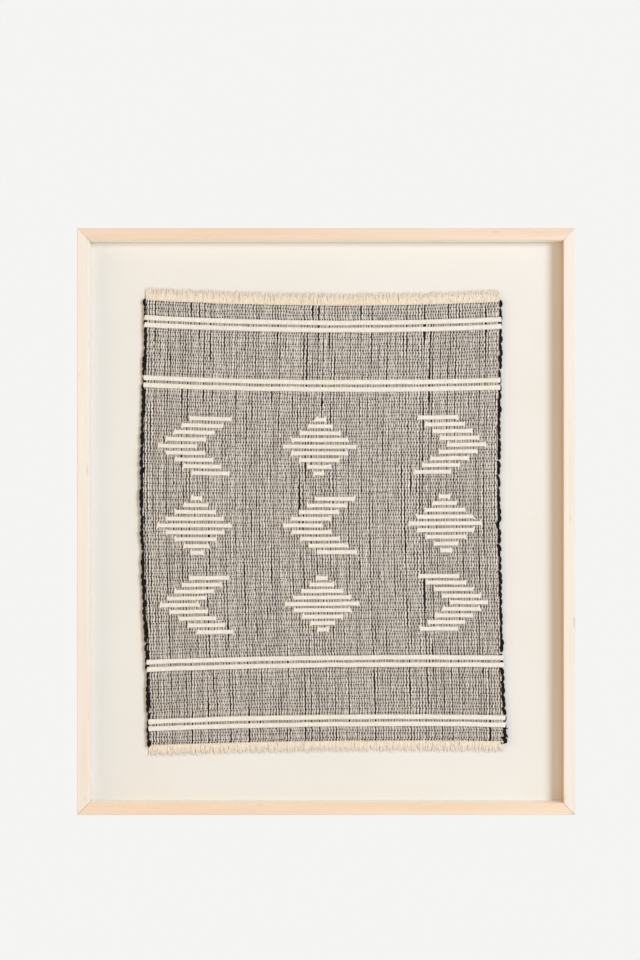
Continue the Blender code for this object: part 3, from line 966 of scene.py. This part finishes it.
def maple_material(name, along, pale, warm, inward, inner):
    """Clear-finished maple, its grain along X (0) or Z (2), with painted light and shade on its inner
    wall.
    """
    shader = Shader(name, 0.56)
    figure = shader.noise(scale=55.0, detail=4.0, stretch=stretched(along, 0.045))
    figure = shader.spread(figure, 0.35, 0.68)
    streaks = shader.noise(scale=900.0, stretch=stretched(along, 0.02))
    broad = shader.mix(figure, pale, warm)
    brown = tuple(STREAK_SHARE * value for value in warm)
    face = shader.mix(shader.spread(streaks, 0.45, 0.85, to_high=0.45), broad, brown)
    fleck = shader.noise(scale=95.0, detail=1.0, stretch=stretched(along, 0.30))
    fleck = shader.spread(fleck, 0.70, 0.76, to_high=0.30)
    fleck_brown = tuple(share * value for share, value in zip(FLECK_SHARES, warm))
    face = shader.mix(fleck, face, fleck_brown)
    # Painted light and shade: each inner wall takes its own tone, lighter on the top and bottom walls,
    # darker and orange on the right one, which lies in shade
    painted_wall_light_mask = shader.spread(shader.facing(inward), 0.70, 0.98)
    shader.colour(shader.mix(painted_wall_light_mask, face, inner))
    shader.bump(streaks, strength=0.12, distance=0.0002)
    shader.set("Specular IOR Level", 0.32)
    return shader.material


def board_material():
    """Off-white mat board with a faint paper tooth."""
    shader = Shader("board_paper", 0.95)
    cloud = shader.spread(shader.noise(scale=9.0), 0.3, 0.7)
    shader.colour(shader.mix(cloud, *BOARD_TONES))
    tooth = shader.noise(scale=1400.0, detail=4.0)
    shader.bump(tooth, strength=0.15, distance=0.0002)
    shader.set("Specular IOR Level", 0.25)
    return shader.material


def panel_material():
    """Brown hardboard, mottled with pressed fibres."""
    shader = Shader("hardboard", 0.8)
    fibres = shader.noise(scale=420.0, detail=6.0, stretch=stretched(2, 0.35))
    cloud = shader.noise(scale=14.0)
    body = shader.mix(shader.spread(cloud, 0.3, 0.7), *PANEL_TONES)
    shader.colour(shader.mix(shader.spread(fibres, 0.4, 0.75, to_high=0.6), body, PANEL_FIBRE))
    shader.bump(fibres, strength=0.35, distance=0.0004)
    return shader.material


def floor_material():
    """Plain pale floor."""
    shader = Shader("floor_pale", 0.9)
    cloud = shader.noise(scale=1.5, detail=2.0)
    shader.colour(shader.mix(cloud, *FLOOR_TONES))
    shader.set("Specular IOR Level", 0.1)
    return shader.material


def paint_node(name, material):
    """Give a node of the model its finish."""
    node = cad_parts[name]
    node.data.materials.clear()
    node.data.materials.append(material)


def add_area(name, azimuth, elevation, distance, width, height, share, colour):
    """A soft area light that gives the front of the object a share of its full light."""
    turn = math.radians(azimuth)
    rise = math.radians(elevation)
    facing = math.cos(rise) * math.cos(turn)
    place = np.array([math.cos(rise) * math.sin(turn), -facing, math.sin(rise)]) * distance
    data = bpy.data.lights.new(name, "AREA")
    data.shape = "RECTANGLE"
    data.size = width
    data.size_y = height
    data.energy = share * math.pi ** 2 * distance ** 2 / facing
    data.color = colour
    light = bpy.data.objects.new(name, data)
    bpy.context.scene.collection.objects.link(light)
    light.location = place
    light.rotation_euler = (math.radians(90) - rise, 0.0, turn)


def make_world(shown, colour, strength):
    """Even pale surroundings: what the camera sees, and how they light the object."""
    world = bpy.data.worlds.new("studio")
    bpy.context.scene.world = world
    world.use_nodes = True
    tree = world.node_tree
    lighting = tree.nodes["Background"]
    lighting.inputs["Color"].default_value = (*colour, 1.0)
    lighting.inputs["Strength"].default_value = strength
    seen = tree.nodes.new("ShaderNodeBackground")
    seen.inputs["Color"].default_value = (*shown, 1.0)
    seen.inputs["Strength"].default_value = 1.0
    path = tree.nodes.new("ShaderNodeLightPath")
    mix = tree.nodes.new("ShaderNodeMixShader")
    tree.links.new(path.outputs["Is Camera Ray"], mix.inputs["Fac"])
    tree.links.new(lighting.outputs["Background"], mix.inputs[1])
    tree.links.new(seen.outputs["Background"], mix.inputs[2])
    tree.links.new(mix.outputs["Shader"], tree.nodes["World Output"].inputs["Surface"])


def make_camera():
    """A camera straight on to the frame."""
    data = bpy.data.cameras.new("camera")
    data.lens = LENS_MM
    camera = bpy.data.objects.new("camera", data)
    bpy.context.scene.collection.objects.link(camera)
    camera.location = (CAMERA_X, -(FRAME_D + CAMERA_DISTANCE), CAMERA_Z)
    camera.rotation_euler = (math.radians(90), 0.0, 0.0)
    bpy.context.scene.camera = camera


def make_floor():
    """A floor well below the hung frame, out of the front view."""
    corners = [(-FLOOR_REACH, -FLOOR_REACH, FLOOR_Z), (FLOOR_REACH, -FLOOR_REACH, FLOOR_Z),
               (FLOOR_REACH, FLOOR_BEHIND, FLOOR_Z), (-FLOOR_REACH, FLOOR_BEHIND, FLOOR_Z)]
    data = bpy.data.meshes.new("floor")
    data.from_pydata(corners, [], [(0, 1, 2, 3)])
    floor = bpy.data.objects.new("floor", data)
    bpy.context.scene.collection.objects.link(floor)
    data.materials.append(floor_material())


make_camera()

# Cloth
ALONG_X = stretched(0, 0.3)
ALONG_Z = stretched(2, 0.3)
cream = yarn_material("warp_cream", dark=(0.62, 0.555, 0.485), light=(0.98, 0.925, 0.84),
                      low=-1.8, high=1.8, fibres=ALONG_Z, tint=(0.74, 0.57, 0.43))
black = yarn_material("weft_black", dark=(0.008, 0.006, 0.005), light=(0.030, 0.024, 0.020),
                      low=-1.5, high=1.5, fibres=ALONG_X, sheen=0.03)
loop_black = yarn_material("loop_black", dark=(0.004, 0.003, 0.002), light=(0.020, 0.014, 0.010),
                           low=-1.5, high=1.5, fibres=ALONG_Z, sheen=0.0)
white = yarn_material("roving_white", dark=(0.86, 0.80, 0.71), light=(0.985, 0.945, 0.88),
                      low=-2.0, high=1.0, fibres=ALONG_X, depth=0.42, mottle_scale=430.0, mottle=0.70)
peach = yarn_material("fringe_cream", dark=(1.0, 0.84, 0.62), light=(1.0, 0.94, 0.83),
                      low=-1.8, high=2.2, fibres=ALONG_Z, depth=0.08, sheen=0.4)

ground = make_base(black)
drift = weft_drift()
warps, warp_across = make_warps(cream, drift)
wefts = make_wefts(black, warp_across, drift)
roving_random = np.random.default_rng(23)
short_bars = make_short_bars(white, roving_random)
long_bars = make_long_bars(white, roving_random)
bar_ends = make_bar_ends(white)
selvedges = make_selvedges(loop_black)
fringe_top, fringe_bottom = [make_fringe(*fringe, peach) for fringe in FRINGES]
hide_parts("cloth")
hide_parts("fringe_top")
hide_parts("fringe_bottom")

# Frame
for node_name, *finish in RAILS:
    paint_node(node_name, maple_material("maple_" + node_name, *finish))
paint_node("mount_board", board_material())
paint_node("back_panel", panel_material())

# Light
make_world(SEEN_COLOUR, WORLD_COLOUR, WORLD_STRENGTH)
for light in LIGHTS:
    add_area(*light)
make_floor()
bpy.context.scene.view_settings.view_transform = "Standard"
